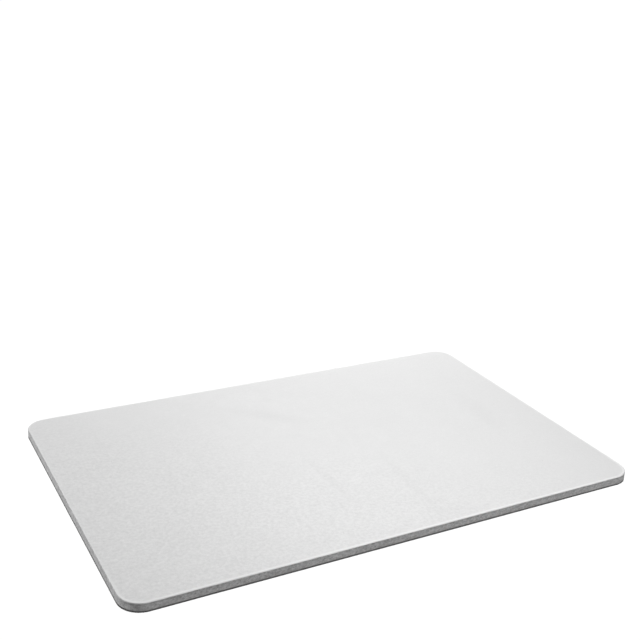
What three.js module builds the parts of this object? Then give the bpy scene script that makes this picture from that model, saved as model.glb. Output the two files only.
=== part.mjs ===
// Stone bath mat: one rigid slab pressed from diatomaceous earth, standing on thin rubber grip pads.
// Each pad is stuck under the slab by its own disc of double-sided adhesive film.
// Millimetres, +Z up. The origin is on the floor under the middle of the slab, and X runs along its length.
import * as THREE from "three";

// The slab
const slabLength = 600; // along X
const slabWidth = 390; // along Y
const slabThickness = 9;
const cornerRadius = 24; // of the outline, seen from above
const edgeRounding = 1; // radius of the sanded arris along the top and bottom edges

// The grip pads and their adhesive
const padDiameter = 40;
const padThickness = 0.8;
const padRimRounding = 0.3; // radius of the moulded rim that meets the floor
const adhesiveThickness = 0.2;
const adhesiveInset = 1; // the adhesive stops this far inside the pad's rim
const padEdgeDistance = 45; // from a slab edge to the centre of the pads beside it

// How finely round stretches are divided
const cornerSteps = 12;
const edgeRoundingSteps = 4;
const discSteps = 48;
const rimSteps = 3;

// Heights that follow from the stack: floor, pad, adhesive, slab
const adhesiveBottom = padThickness;
const slabBottom = adhesiveBottom + adhesiveThickness;

const diatomite = new THREE.MeshStandardMaterial({ color: 0xe4e4e3, roughness: 0.95, metalness: 0 });
const rubber = new THREE.MeshStandardMaterial({ color: 0x6f7173, roughness: 0.8, metalness: 0 });
const adhesiveFilm = new THREE.MeshStandardMaterial({ color: 0xd9dbd6, roughness: 0.4, metalness: 0 });

// A rectangle centred on the origin with four round corners.
function roundedRectangle(length, width, radius) {
  const x = length / 2 - radius;
  const y = width / 2 - radius;
  const quarter = Math.PI / 2;
  const outline = new THREE.Shape();
  outline.absarc(x, -y, radius, -quarter, 0);
  outline.absarc(x, y, radius, 0, quarter);
  outline.absarc(-x, y, radius, quarter, 2 * quarter);
  outline.absarc(-x, -y, radius, 2 * quarter, 3 * quarter);
  return outline;
}

// The outline pressed to its thickness, with both long rims rounded over.
function makeSlab() {
  const geometry = new THREE.ExtrudeGeometry(roundedRectangle(slabLength, slabWidth, cornerRadius), {
    depth: slabThickness - 2 * edgeRounding,
    curveSegments: cornerSteps,
    bevelThickness: edgeRounding,
    bevelSize: edgeRounding,
    bevelOffset: -edgeRounding,
    bevelSegments: edgeRoundingSteps,
  });
  const slab = new THREE.Mesh(geometry, diatomite);
  slab.name = "slab";
  slab.position.z = slabBottom + edgeRounding;
  return slab;
}

// A solid of revolution about Z from its profile of [radius, height] points.
function turned(profile) {
  const points = profile.map(([radius, height]) => new THREE.Vector2(radius, height));
  return new THREE.LatheGeometry(points, discSteps).rotateX(Math.PI / 2);
}

// A moulded rubber disc whose lower rim, on the floor, is rounded.
function makePad(place) {
  const radius = padDiameter / 2;
  const rim = Array.from({ length: rimSteps + 1 }, (_, step) => {
    const turn = (step / rimSteps) * (Math.PI / 2);
    return [
      radius - padRimRounding + padRimRounding * Math.sin(turn),
      padRimRounding - padRimRounding * Math.cos(turn),
    ];
  });
  const pad = new THREE.Mesh(turned([[0, 0], ...rim, [radius, padThickness], [0, padThickness]]), rubber);
  pad.name = `grip_pad_${place}`;
  return pad;
}

// The film between a pad and the slab.
function makeAdhesive(place) {
  const radius = padDiameter / 2 - adhesiveInset;
  const profile = [[0, 0], [radius, 0], [radius, adhesiveThickness], [0, adhesiveThickness]];
  const adhesive = new THREE.Mesh(turned(profile), adhesiveFilm);
  adhesive.name = `adhesive_disc_${place}`;
  adhesive.position.z = adhesiveBottom;
  return adhesive;
}

const mat = new THREE.Group();
mat.add(makeSlab());

// Two rows of three pads: one near each corner and one at the middle of each long edge.
const columnX = slabLength / 2 - padEdgeDistance;
const rowY = slabWidth / 2 - padEdgeDistance;
const rows = { front: -rowY, back: rowY };
const columns = { left: -columnX, middle: 0, right: columnX };
for (const [row, y] of Object.entries(rows)) {
  for (const [column, x] of Object.entries(columns)) {
    const foot = new THREE.Group();
    foot.position.set(x, y, 0);
    foot.add(makePad(`${row}_${column}`), makeAdhesive(`${row}_${column}`));
    mat.add(foot);
  }
}

export default mat;
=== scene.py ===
import math

import bmesh
import bpy
from mathutils import Euler, Matrix, Vector, noise


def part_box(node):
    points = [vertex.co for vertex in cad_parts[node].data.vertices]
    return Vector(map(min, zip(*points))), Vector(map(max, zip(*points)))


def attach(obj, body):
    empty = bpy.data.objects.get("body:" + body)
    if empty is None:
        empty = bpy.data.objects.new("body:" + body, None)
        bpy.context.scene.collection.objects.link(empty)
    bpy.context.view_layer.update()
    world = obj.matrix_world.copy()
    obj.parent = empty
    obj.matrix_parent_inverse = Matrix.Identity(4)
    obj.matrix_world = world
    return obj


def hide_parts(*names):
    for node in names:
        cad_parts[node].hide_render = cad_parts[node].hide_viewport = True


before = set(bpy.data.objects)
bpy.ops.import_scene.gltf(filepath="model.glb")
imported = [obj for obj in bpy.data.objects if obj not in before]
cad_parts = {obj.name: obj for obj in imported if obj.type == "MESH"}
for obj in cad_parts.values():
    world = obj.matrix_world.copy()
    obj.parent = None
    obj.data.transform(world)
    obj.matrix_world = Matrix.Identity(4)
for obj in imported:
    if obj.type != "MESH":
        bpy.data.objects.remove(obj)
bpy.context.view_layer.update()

# ---------------------------------------------------------------- Slab
# The mat itself: one rigid board, pressed from diatomaceous earth with a little fibre and
# binder, baked, then cut to its outline. Its edges are sanded round by hand, and both faces
# keep the slight unevenness of the press.

slab_low, slab_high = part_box("slab")
half_length = slab_high.x
half_width = slab_high.y
corner_radius = 0.024
edge_rounding = 0.0007
end_rounding = 0.0011  # both short ends are sanded rounder, where hands lift the slab

mesh_step = 0.003  # between neighbouring points along the outline and across the faces
corner_steps = 6  # in half a corner
rounding_steps = 5  # over each rounded edge
side_steps = 4  # down the flat of the side
border_width = 0.012  # from the outline to the square grid that fills each face
border_steps = 4  # across that border

press_depth = 0.00010  # how far the faces wander below their highest places
press_size = 0.11
outline_wander = 0.00014  # how far the cut and sanded outline wanders inwards
outline_wander_size = 0.045
rounding_wander = 0.22  # how much the sanded rounding differs from place to place, as a share
rounding_wander_size = 0.028
top_layer = 0.7  # each surface reads its own layer of the noise, so that no two wander alike
bottom_layer = 5.3
outline_layer = 2.1
rounding_layer = 9.0

cloud_size = 0.09  # how wide the unevenness in the board's colour is, from broad to fine
mottle_size = 0.024
speckle_size = 0.0036
grain_size = 0.0009
coarse_way = (-0.6, -0.8, 0)  # towards the front left, where the faces were sanded least
coarse_start = -0.03  # how far that way from the middle the coarser grain sets in
coarse_full = 0.15  # and where it is at its full
coarse_drift = 0.16  # the border between the coarse and the fine wanders within this
coarse_drift_size = 0.14

pinhole_spacing = 0.0024
pinhole_radius = 0.00034
pock_spacing = 0.013
pock_radius = 0.0008
fibre_width = 0.0011
fibre_length = 0.0075
fibre_depth = 0.004

layer_length = 0.045  # of the faint pressed layers that show on the cut sides
layer_height = 0.0011
saw_mark_width = 0.0018
saw_mark_height = 0.02
torn_grain_width = 0.0034
torn_grain_height = 0.0021
edge_shade_start = slab_high.z - 0.0032  # the sides are painted darker from here up: painted shade under the rounded top edge
edge_shade_full = slab_high.z - 0.0018

pale_highlight_band = 0.0045  # how far the paler band, mostly painted highlight, reaches in from the outline
pale_highlight_start = -0.12  # the painted highlight grows stronger from here to the front edge
low_edge_shade_top = slab_low.z + 0.0016  # how far up its sides the slab is painted darker: painted shade along its lower edge
low_edge_shade_ragged = 0.0012
low_edge_shade_ragged_size = 0.007
patch_size = 0.006  # of the chalky highlit patches and the painted shade patches along the edges
sheen_size = 0.03  # of the areas that are a little less matt than the rest
mark_ragged_size = 0.014
mark_depth = 0.004  # neither a rubbed mark nor the pool of painted light reaches the slab's other face
foot_marks_and_light_pool = [  # where feet have darkened the face, and one pool of painted light: x, y, width, length, turn and share
    (-0.027, -0.070, 0.012, 0.110, -0.05, 0.09),
    (0.052, -0.098, 0.016, 0.150, 0.05, 0.08),
    (-0.026, 0.100, 0.028, 0.130, -0.84, 0.08),
    (0.228, 0.004, 0.034, 0.140, 0.08, 0.06),
    (-0.060, -0.060, 0.240, 0.600, 0.10, -0.07),  # a broad pale patch: a pool of painted light
]


def wave(x, y, layer, size):
    """Smooth noise from 0 to 1 whose bumps are about as wide as size."""
    falloff, gap, octaves = 1.0, 2.0, 3
    return 0.5 + 0.5 * noise.fractal(Vector((x, y, layer)) / size, falloff, gap, octaves)


def slab_outline():
    """The outline, anticlockwise from the middle of the front left corner.
    Each point is the centre that it bends around, and the direction out from there."""
    x = half_length - corner_radius
    y = half_width - corner_radius
    corners = [Vector((-x, -y)), Vector((x, -y)), Vector((x, y)), Vector((-x, y))]
    outline = []
    for side, corner in enumerate(corners):
        following = corners[(side + 1) % 4]
        facing = math.radians(90 * side - 90)
        straight = round((following - corner).length / mesh_step)
        turns = [step / corner_steps - 1 for step in range(corner_steps)]
        turns += [0] * straight + [step / corner_steps for step in range(corner_steps)]
        for index, turn in enumerate(turns):
            along = min(max(index - corner_steps, 0) / straight, 1)
            angle = facing + turn * math.radians(45)
            out = Vector((math.cos(angle), math.sin(angle)))
            outline.append((corner.lerp(following, along), out))
    return outline


def grid_lines(half):
    """Where the grid's lines cross one axis: finer over the corners, then mesh_step apart."""
    edge = half - border_width
    straight = half - corner_radius
    steps = round(2 * straight / mesh_step)
    first = [-edge + (edge - straight) * step / corner_steps for step in range(corner_steps)]
    middle = [-straight + 2 * straight * step / steps for step in range(steps + 1)]
    return first + middle + [-place for place in reversed(first)]


def join_rings(mesh, rings, forward):
    """Quads between each ring of points and the next."""
    for ring, following in zip(rings, rings[1:]):
        for index in range(len(ring)):
            after = (index + 1) % len(ring)
            corners = [ring[index], ring[after], following[after], following[index]]
            mesh.faces.new(corners if forward else corners[::-1])


def slab_face(mesh, border, columns, rows, height, up):
    """Fills one face inside its rounded border: a few rings, then a square grid."""
    last_column = len(columns) - 1
    last_row = len(rows) - 1
    grid = [[mesh.verts.new((x, y, height(x, y))) for y in rows] for x in columns]
    rim = [grid[column][0] for column in range(last_column)]
    rim += [grid[last_column][row] for row in range(last_row)]
    rim += [grid[column][last_row] for column in range(last_column, 0, -1)]
    rim += [grid[0][row] for row in range(last_row, 0, -1)]
    rings = [border]
    for step in range(1, border_steps):
        ring = []
        for outer, inner in zip(border, rim):
            place = outer.co.lerp(inner.co, step / border_steps)
            ring.append(mesh.verts.new((place.x, place.y, height(place.x, place.y))))
        rings.append(ring)
    join_rings(mesh, rings + [rim], up)
    for column in range(last_column):
        for row in range(last_row):
            corners = [
                grid[column][row],
                grid[column + 1][row],
                grid[column + 1][row + 1],
                grid[column][row + 1],
            ]
            mesh.faces.new(corners if up else corners[::-1])


def make_slab():
    """Rings of points from the top face, over the rounded edge and down, then both faces."""

    def top_height(x, y):
        return slab_high.z - press_depth * wave(x, y, top_layer, press_size)

    def bottom_height(x, y):
        return slab_low.z + press_depth * wave(x, y, bottom_layer, press_size)

    mesh = bmesh.new()
    outline = slab_outline()
    levels = [(1, turn / rounding_steps) for turn in range(rounding_steps, 0, -1)]
    levels += [(0, step / side_steps) for step in range(side_steps + 1)]
    levels += [(-1, turn / rounding_steps) for turn in range(1, rounding_steps + 1)]
    rings = []
    for end, share in levels:
        ring = []
        for centre, out in outline:
            edge = centre + corner_radius * out
            x, y = edge
            worn = outline_wander * wave(x, y, outline_layer, outline_wander_size)
            swing = 2 * wave(x, y, rounding_layer + end, rounding_wander_size) - 1
            rounding = edge_rounding + (end_rounding - edge_rounding) * out.x ** 2
            rounding *= 1 + rounding_wander * swing
            top = top_height(x, y)
            bottom = bottom_height(x, y)
            if end == 0:
                inset = 0
                z = (top - rounding) * (1 - share) + (bottom + rounding) * share
            else:
                angle = share * math.radians(90)
                inset = rounding * (1 - math.cos(angle))
                rise = rounding * (1 - math.sin(angle))
                z = top - rise if end > 0 else bottom + rise
            place = edge - (worn + inset) * out
            ring.append(mesh.verts.new((place.x, place.y, z)))
        rings.append(ring)
    join_rings(mesh, rings, False)
    columns = grid_lines(half_length)
    rows = grid_lines(half_width)
    slab_face(mesh, rings[0], columns, rows, top_height, True)
    slab_face(mesh, rings[-1], columns, rows, bottom_height, False)
    return finished_piece(mesh, "bath_mat_slab")


def finished_piece(mesh, name):
    """Turns a bmesh into a smooth-shaded object with that name."""
    mesh.normal_update()
    data = bpy.data.meshes.new(name)
    mesh.to_mesh(data)
    mesh.free()
    data.shade_smooth()
    piece = bpy.data.objects.new(name, data)
    bpy.context.scene.collection.objects.link(piece)
    return piece


class Socket:
    """A node's output, so that shader maths reads as plain expressions."""

    def __init__(self, finish, output):
        self.finish = finish
        self.output = output

    def maths(self, operation, *values):
        inputs = dict(enumerate(values))
        return self.finish.node("ShaderNodeMath", {"operation": operation}, inputs)

    def __add__(self, other):
        return self.maths("ADD", self, other)

    __radd__ = __add__

    def __sub__(self, other):
        return self.maths("SUBTRACT", self, other)

    def __rsub__(self, other):
        return self.maths("SUBTRACT", other, self)

    def __mul__(self, other):
        return self.maths("MULTIPLY", self, other)

    __rmul__ = __mul__

    def __abs__(self):
        return self.maths("ABSOLUTE", self)


class Finish:
    """A material while it is being made."""

    def __init__(self, name):
        self.material = bpy.data.materials.new(name)
        self.material.use_nodes = True
        self.tree = self.material.node_tree
        self.tree.nodes.clear()
        self.place = self.node("ShaderNodeTexCoord", out="Object")

    def node(self, kind, settings=None, inputs=None, out=0):
        """Adds a node: its settings first, then the values or links of its sockets."""
        node = self.tree.nodes.new(kind)
        for setting, value in (settings or {}).items():
            setattr(node, setting, value)
        by_name = {socket.identifier: socket for socket in node.inputs}
        for name, value in (inputs or {}).items():
            socket = node.inputs[name] if isinstance(name, int) else by_name[name]
            if isinstance(value, Socket):
                self.tree.links.new(value.output, socket)
            else:
                socket.default_value = value
        if node.outputs:
            return Socket(self, node.outputs[out])

    def noise(self, size, place=None, detail=2, roughness=0.5):
        """Noise around 0.5 whose bumps are about as wide as size, in the units of its place."""
        inputs = {
            "Vector": place or self.place,
            "Scale": 1 / size,
            "Detail": detail,
            "Roughness": roughness,
        }
        return self.node("ShaderNodeTexNoise", inputs=inputs)

    def ramp(self, value, low, high):
        """0 where value is low, 1 where it is high, and smooth between."""
        settings = {"interpolation_type": "SMOOTHSTEP"}
        inputs = {"Value": value, "From Min": low, "From Max": high}
        return self.node("ShaderNodeMapRange", settings, inputs)

    def vector(self, operation, *values, out="Vector"):
        """Maths on whole vectors."""
        inputs = dict(enumerate(values))
        return self.node("ShaderNodeVectorMath", {"operation": operation}, inputs, out)

    def part(self, vector, axis):
        """A vector's X, Y or Z as a number."""
        return self.node("ShaderNodeSeparateXYZ", inputs={0: vector}, out=axis)

    def stretched(self, x, y, z, turn=0, place=None):
        """The place, turned about Z and measured in units as long as x, y and z."""
        inputs = {"Vector": place or self.place, "Rotation": (0, 0, turn)}
        turned = self.node("ShaderNodeMapping", inputs=inputs)
        return self.vector("MULTIPLY", turned, (1 / x, 1 / y, 1 / z))

    def blend(self, share, first, second):
        """The first colour where share is 0, the second where it is 1."""
        inputs = {"Factor_Float": share, "A_Color": first, "B_Color": second}
        return self.node("ShaderNodeMix", {"data_type": "RGBA"}, inputs, out=2)

    def bump(self, height):
        """Relief finer than the mesh, from a height in millimetres."""
        inputs = {"Strength": 1.0, "Distance": 0.001, "Height": height}
        return self.node("ShaderNodeBump", inputs=inputs)

    def surface(self, **inputs):
        """Ends the material in one Principled shader."""
        named = {name.replace("_", " "): value for name, value in inputs.items()}
        shader = self.node("ShaderNodeBsdfPrincipled", inputs=named)
        self.node("ShaderNodeOutputMaterial", inputs={"Surface": shader})
        return self.material


def grey(lightness, warmth=0.0):
    """A near-neutral colour of that linear lightness."""
    return (lightness * (1 + warmth), lightness, lightness * (1 - warmth), 1)


face_dark, face_pale = grey(0.60), grey(0.84)  # the darkest and the palest of the faces
side_dark, side_pale = grey(0.39), grey(0.81)  # and of the cut sides
# chalk with a painted highlight for the front arris, and painted shade for the end arrises and the
# lower edge
chalk_highlight_grey, end_arris_shade_grey, low_edge_shade_grey = grey(0.93), grey(0.48), grey(0.30)


def diatomite():
    """Dead matt pale grey, faintly clouded, with pinholes, fibres and chalky sanded edges; painted
    highlights and a pool of painted light on the face, painted shade in the pits and along the
    edges.
    """
    finish = Finish("pressed_diatomite")
    normal = finish.node("ShaderNodeNewGeometry", out="Normal")
    flatness = abs(finish.part(normal, "Z"))
    frontward = -1 * finish.part(normal, "Y")
    endward = abs(finish.part(normal, "X"))
    side = 1 - finish.ramp(flatness, 0.05, 0.3)
    edge = finish.ramp(flatness, 0.1, 0.4) * (1 - finish.ramp(flatness, 0.9, 0.999))
    place_y = finish.part(finish.place, "Y")
    place_z = finish.part(finish.place, "Z")

    # The front and the left end kept the press's coarser grain; the back right is sanded fine.
    across = finish.vector("DOT_PRODUCT", finish.place, coarse_way, out="Value")
    drift = coarse_drift * (finish.noise(coarse_drift_size) - 0.5)
    coarse = finish.ramp(across + drift, coarse_start, coarse_full)
    cloud = finish.noise(cloud_size) - 0.5
    mottle = finish.noise(mottle_size, detail=3) - 0.5
    speckle = finish.noise(speckle_size, detail=3, roughness=0.65) - 0.5
    speckle = speckle * (0.2 + 0.8 * coarse)
    grain = finish.noise(grain_size, detail=3, roughness=0.7) - 0.5

    # Marks that feet have rubbed into the face, and one broad pool of painted light, each with a
    # ragged border of its own.
    foot_marks_and_light = 0.0
    ragged = 0.9 * (finish.noise(mark_ragged_size, detail=3) - 0.5)
    for x, y, width, length, turn, share in foot_marks_and_light_pool:
        moved = finish.vector("SUBTRACT", finish.place, (x, y, slab_high.z))
        shaped = finish.stretched(width, length, mark_depth, turn, moved)
        distance = finish.vector("LENGTH", shaped, out="Value")
        foot_marks_and_light = foot_marks_and_light + share * (1 - finish.ramp(distance + ragged, 0.1, 0.6))

    # Sanding and feet have left the face a little paler just inside its outline; a painted
    # highlight makes that band much paler along the front edge.
    bend = (half_length - corner_radius, half_width - corner_radius, 1)
    past_bend = finish.vector("SUBTRACT", finish.vector("ABSOLUTE", finish.place), bend)
    outward = finish.vector("MAXIMUM", past_bend, (0, 0, 0))
    reach = finish.vector("LENGTH", outward, out="Value")
    front = 0.25 + 0.75 * finish.ramp(place_y, pale_highlight_start, -half_width)
    pale = finish.ramp(reach, corner_radius - pale_highlight_band, corner_radius - 0.4 * pale_highlight_band)
    pale = pale * front * (1 - side)

    def cells(place, scale):
        """A random number for each cell of a scatter, and the distance from its middle."""
        inputs = {"Vector": place, "Scale": scale}
        distance = finish.node("ShaderNodeTexVoronoi", inputs=inputs, out="Distance")
        colour = finish.node("ShaderNodeTexVoronoi", inputs=inputs, out="Color")
        chance = finish.node("ShaderNodeSeparateColor", inputs={0: colour})
        return chance, distance

    def pits(spacing, radius, share):
        """Small round pits, one to a cell in a share of the cells."""
        chance, distance = cells(finish.place, 1 / spacing)
        chosen = 1 - finish.ramp(chance, share - 0.02, share + 0.02)
        return chosen * (1 - finish.ramp(distance, 0.4 * radius / spacing, radius / spacing))

    def fibres(turn):
        """Short fibres caught in the board, lying one way."""
        place = finish.stretched(fibre_width, fibre_length, fibre_depth, turn)
        chance, distance = cells(place, 1.0)
        return (1 - finish.ramp(chance, 0.10, 0.13)) * (1 - finish.ramp(distance, 0.12, 0.3))

    pinholes = pits(pinhole_spacing, pinhole_radius, share=0.55)
    pocks = pits(pock_spacing, pock_radius, share=0.25)
    fibre = fibres(turn=0.6) + fibres(turn=-0.9)

    # The cut sides show pressed layers, upright saw marks and torn grain, and are painted darker
    # under the rounding: painted shade.
    layers_place = finish.stretched(layer_length, layer_length, layer_height)
    layers = finish.noise(1, layers_place, detail=2) - 0.5
    sawn_place = finish.stretched(saw_mark_width, saw_mark_width, saw_mark_height)
    sawn = finish.noise(1, sawn_place, detail=2) - 0.5
    torn_place = finish.stretched(torn_grain_width, torn_grain_width, torn_grain_height)
    torn = finish.noise(1, torn_place, detail=3, roughness=0.7) - 0.5
    shaded_under_rounding = finish.ramp(place_z, edge_shade_start, edge_shade_full)

    # The tone runs from 0, the darkest, to 1, the palest, and each feature moves it.
    tone = 0.5 + 0.07 * cloud + 0.09 * mottle + 1.05 * speckle + 0.5 * grain
    tone = tone + side * (0.25 * layers + 0.12 * sawn + 0.25 * mottle + 2.1 * torn)
    tone = tone + side * (0.05 - 0.18 * shaded_under_rounding)
    # Pinholes and pocks are painted darker as well as sunk: painted shade in the pits.
    tone = tone - foot_marks_and_light - 0.35 * pinholes - 0.5 * pocks + 0.16 * fibre
    face = finish.blend(tone, face_dark, face_pale)
    cut = finish.blend(tone, side_dark, side_pale)

    # Chalky where the arris was sanded, with a painted highlight on its front; painted shade on
    # the arrises of the ends and along the lower edge.
    patchy = finish.ramp(finish.noise(patch_size, detail=2), 0.2, 0.5)
    chalk_and_highlight = edge * patchy * (0.2 + 0.8 * finish.ramp(frontward, -0.1, 0.3))
    end_arris_shade = edge * patchy * finish.ramp(endward, 0.1, 0.4)
    # Painted shade along the lower edge, with a ragged top.
    low_edge_shade_height = place_z + low_edge_shade_ragged * (finish.noise(low_edge_shade_ragged_size) - 0.5)
    low_edge_shade = finish.ramp(low_edge_shade_height, low_edge_shade_top, slab_low.z)
    low_edge_shade = low_edge_shade * (1 - finish.ramp(flatness, 0.9, 0.99))
    face = finish.blend(pale, face, face_pale)
    colour = finish.blend(side, face, cut)
    colour = finish.blend(0.75 * chalk_and_highlight, colour, chalk_highlight_grey)
    colour = finish.blend(0.7 * end_arris_shade, colour, end_arris_shade_grey)
    colour = finish.blend(0.6 * low_edge_shade, colour, low_edge_shade_grey)

    relief = 0.05 * speckle + 0.03 * grain - 0.12 * pinholes - 0.2 * pocks + 0.02 * fibre
    relief = relief + side * (0.06 * layers + 0.05 * sawn + 0.06 * torn)
    rough = finish.ramp(finish.noise(sheen_size), 0.0, 1.0) * 0.06 + 0.92
    bump = finish.bump(relief)
    return finish.surface(
        Base_Color=colour, Roughness=rough, Normal=bump, Specular_IOR_Level=0.25
    )


slab = make_slab()
slab.data.materials.append(diatomite())
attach(slab, "root")
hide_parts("slab")

# ---------------------------------------------------------------- Grip pads
# Six round pads moulded in soft dark rubber. Ring grooves on the floor side give the grip, the
# rim is rounded by the mould, and the flat back takes the adhesive.

pad_rim_rounding = 0.0003
pad_rim_steps = 4
pad_grooves = 6
pad_groove_pitch = 0.0026
pad_groove_width = 0.0014
pad_groove_depth = 0.00018
pad_groove_points = (-0.5, -0.3, -0.14, 0.14, 0.3, 0.5)  # across a groove, in shares of its width
pad_groove_reach = 0.4  # how far the hollow reaches either side of its middle, as such a share
pad_rim_margin = 0.0022  # from the rim to the middle of the outermost groove
pad_back_bevel = 0.00006
pad_turn_steps = 120
rubber_texture_size = 0.0007
rubber_dust_size = 0.006
clean_rubber, dusty_rubber = grey(0.045), grey(0.13)


def pad_profile(radius, bottom, top):
    """Half of the pad's section, from the middle of its floor side to the middle of its back."""
    profile = []
    for groove in range(pad_grooves):
        middle = radius - pad_rim_margin - (pad_grooves - 1 - groove) * pad_groove_pitch
        for share in pad_groove_points:
            depth = pad_groove_depth * (1 - min(abs(share) / pad_groove_reach, 1) ** 2)
            profile.append((middle + share * pad_groove_width, bottom + depth))
    for step in range(pad_rim_steps + 1):
        turn = math.radians(90 * step / pad_rim_steps)
        out = radius - pad_rim_rounding * (1 - math.sin(turn))
        profile.append((out, bottom + pad_rim_rounding * (1 - math.cos(turn))))
    profile.append((radius, top - pad_back_bevel))
    profile.append((radius - pad_back_bevel, top))
    return profile


def make_pad(node):
    """The pad's section, turned about the middle of the place that the frame gives it."""
    low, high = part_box(node)
    middle = (low + high) / 2
    mesh = bmesh.new()
    rings = []
    for radius, z in pad_profile((high.x - low.x) / 2, low.z, high.z):
        ring = []
        for step in range(pad_turn_steps):
            angle = 2 * math.pi * step / pad_turn_steps
            x = middle.x + radius * math.cos(angle)
            y = middle.y + radius * math.sin(angle)
            ring.append(mesh.verts.new((x, y, z)))
        rings.append(ring)
    join_rings(mesh, rings, True)
    mesh.faces.new(rings[0][::-1])
    mesh.faces.new(rings[-1])
    return finished_piece(mesh, "rubber_" + node)


def rubber():
    """Soft dark grey rubber with the mould's fine texture and a little dust."""
    finish = Finish("grip_rubber")
    texture = finish.noise(rubber_texture_size, detail=2) - 0.5
    dusty = finish.ramp(finish.noise(rubber_dust_size, detail=3), 0.45, 0.75)
    colour = finish.blend(0.5 * dusty, clean_rubber, dusty_rubber)
    rough = 0.68 + 0.2 * dusty
    return finish.surface(Base_Color=colour, Roughness=rough, Normal=finish.bump(0.03 * texture))


pad_rubber = rubber()
pad_nodes = sorted(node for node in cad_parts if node.startswith("grip_pad"))
for node in pad_nodes:
    pad = make_pad(node)
    pad.data.materials.append(pad_rubber)
    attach(pad, "root")
    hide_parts(node)

# ---------------------------------------------------------------- Adhesive discs
# A disc of thin milky double-sided film behind each pad, die-cut a little smaller than the pad
# and pressed against the slab. The frame's own discs have the right shape and stay.

bubble_size = 0.003
wetted_film = grey(0.55, warmth=0.03)
airy_film = grey(0.72, warmth=0.01)


def adhesive_film():
    """Milky film with trapped air where it didn't wet the slab."""
    finish = Finish("adhesive_film")
    air = finish.ramp(finish.noise(bubble_size, detail=3), 0.52, 0.62)
    colour = finish.blend(air, wetted_film, airy_film)
    rough = 0.35 + 0.3 * air
    return finish.surface(Base_Color=colour, Roughness=rough, Normal=finish.bump(0.02 * air))


film = adhesive_film()
for name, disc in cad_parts.items():
    if name.startswith("adhesive_disc"):
        disc.data.materials.clear()
        disc.data.materials.append(film)

# ---------------------------------------------------------------- Floor
# A plain white studio floor that runs past the horizon. It looks white from anywhere, and
# throws back at the mat only the weaker light of a floor that is mostly unlit.

floor_half = 40
floor_white = grey(0.95)
floor_bounce = grey(0.2)


def make_floor():
    """One wide flat square."""
    mesh = bmesh.new()
    corners = [(-1, -1), (1, -1), (1, 1), (-1, 1)]
    mesh.faces.new([mesh.verts.new((x * floor_half, y * floor_half, 0)) for x, y in corners])
    return finished_piece(mesh, "studio_floor")


def studio_white():
    """Matt white to the eye, and duller to the light that bounces off it."""
    finish = Finish("studio_floor")
    seen = finish.node("ShaderNodeLightPath", out="Is Camera Ray")
    colour = finish.blend(seen, floor_bounce, floor_white)
    return finish.surface(Base_Color=colour, Roughness=1.0, Specular_IOR_Level=0.0)


floor = make_floor()
floor.data.materials.append(studio_white())

# ---------------------------------------------------------------- Light
# A dim even room with seven softboxes: two behind the mat, one beyond its left end, one off
# each front corner, one over it and one over its front edge. They light the mat alone, and the
# floor has a wash of light of its own.

room_light = 0.05


class Room(Finish):
    """The light and the backdrop all round, made with the same nodes as a material."""

    def __init__(self, name):
        world = bpy.data.worlds.new(name)
        bpy.context.scene.world = world
        world.use_nodes = True
        self.tree = world.node_tree
        self.tree.nodes.clear()
        seen = self.node("ShaderNodeLightPath", out="Is Camera Ray")
        dim = {"Color": grey(1), "Strength": room_light}
        light = self.node("ShaderNodeBackground", inputs=dim)
        backdrop = self.node("ShaderNodeBackground", inputs={"Color": grey(1)})
        both = self.node("ShaderNodeMixShader", inputs={0: seen, 1: light, 2: backdrop})
        self.node("ShaderNodeOutputWorld", inputs={"Surface": both})


# Flags between the softboxes and the floor: what is in this collection, they leave out.
flagged = bpy.data.collections.new("flagged_from_the_softboxes")
flagged.objects.link(floor)
flagged.collection_objects[0].light_linking.link_state = "EXCLUDE"


def softbox(name, place, aim, size, power):
    """A square lamp that points from its place to its aim, and isn't itself in view."""
    light = bpy.data.lights.new(name, "AREA")
    light.shape = "SQUARE"
    light.size = size
    light.energy = power
    lamp = bpy.data.objects.new(name, light)
    bpy.context.scene.collection.objects.link(lamp)
    lamp.location = place
    lamp.rotation_euler = (Vector(aim) - Vector(place)).to_track_quat("-Z", "Y").to_euler()
    lamp.visible_camera = False
    lamp.light_linking.receiver_collection = flagged


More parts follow.
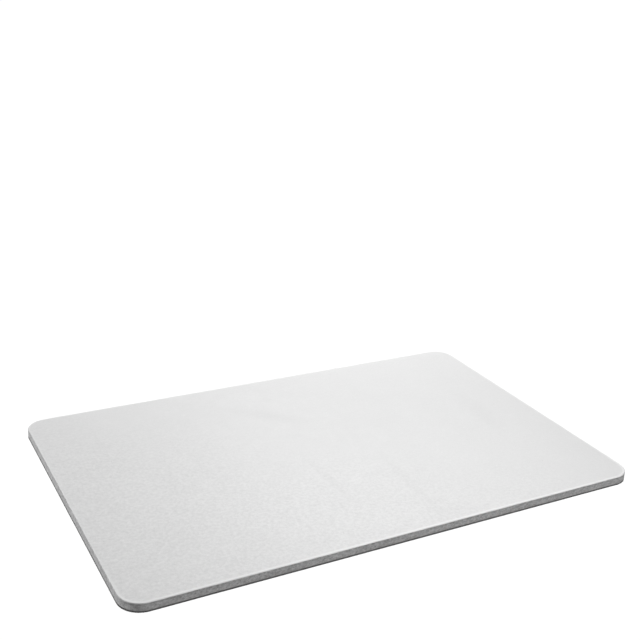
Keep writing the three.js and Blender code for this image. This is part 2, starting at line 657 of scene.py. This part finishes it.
def floor_wash(strength, softness):
    """Light from straight above that falls only on the floor and keeps it white."""
    light = bpy.data.lights.new("floor_wash", "SUN")
    light.energy = strength
    light.angle = math.radians(softness)
    lamp = bpy.data.objects.new("floor_wash", light)
    bpy.context.scene.collection.objects.link(lamp)
    lit = bpy.data.collections.new("lit_by_floor_wash")
    lit.objects.link(floor)
    lamp.light_linking.receiver_collection = lit


Room("studio")
floor_wash(strength=3.3, softness=10)
softbox("back_left_softbox", place=(0.36, 1.31, 0.5), aim=(0, 0, 0), size=0.5, power=12.9)
softbox("back_right_softbox", place=(0.7, 1.0, 0.8), aim=(0, 0, 0), size=0.6, power=10.0)
softbox("left_softbox", place=(-1.5, 0.6, 0.45), aim=(-0.2, 0, 0), size=0.6, power=11.5)
softbox("right_softbox", place=(0.7, -1.1, 0.35), aim=(0.15, -0.195, 0), size=0.6, power=2.68)
softbox("corner_softbox", place=(-1.0, -1.25, 0.25), aim=(-0.2, -0.195, 0), size=0.6, power=1.46)
softbox("top_softbox", place=(0.074, -0.164, 0.5), aim=(0.074, -0.1, 0), size=0.5, power=1.04)
softbox("front_softbox", place=(0.0, -0.35, 0.6), aim=(0.0, -0.1, 0), size=0.5, power=1.03)

# ---------------------------------------------------------------- Camera
# Off the front left corner and above the mat, a step back, with a short tele lens. It is
# tilted down at the mat, and turned a little about its own line of sight.

camera_place = (-0.5131, -0.9220, 0.5763)
focal_length = 57.29  # in millimetres, for a sensor 36 mm wide
tilt_below_level = 21.12  # degrees
swing_to_right = 28.585
roll = 2.60

camera = bpy.data.objects.new("camera", bpy.data.cameras.new("camera"))
bpy.context.scene.collection.objects.link(camera)
camera.data.sensor_width = 36
camera.data.lens = focal_length
camera.data.clip_end = 200  # past the far edge of the floor
facing = Euler((math.radians(90 - tilt_below_level), 0, math.radians(-swing_to_right))).to_matrix()
facing = facing @ Matrix.Rotation(math.radians(roll), 3, "Z")
camera.matrix_world = Matrix.Translation(camera_place) @ facing.to_4x4()
bpy.context.scene.camera = camera
bpy.context.scene.view_settings.view_transform = "Standard"
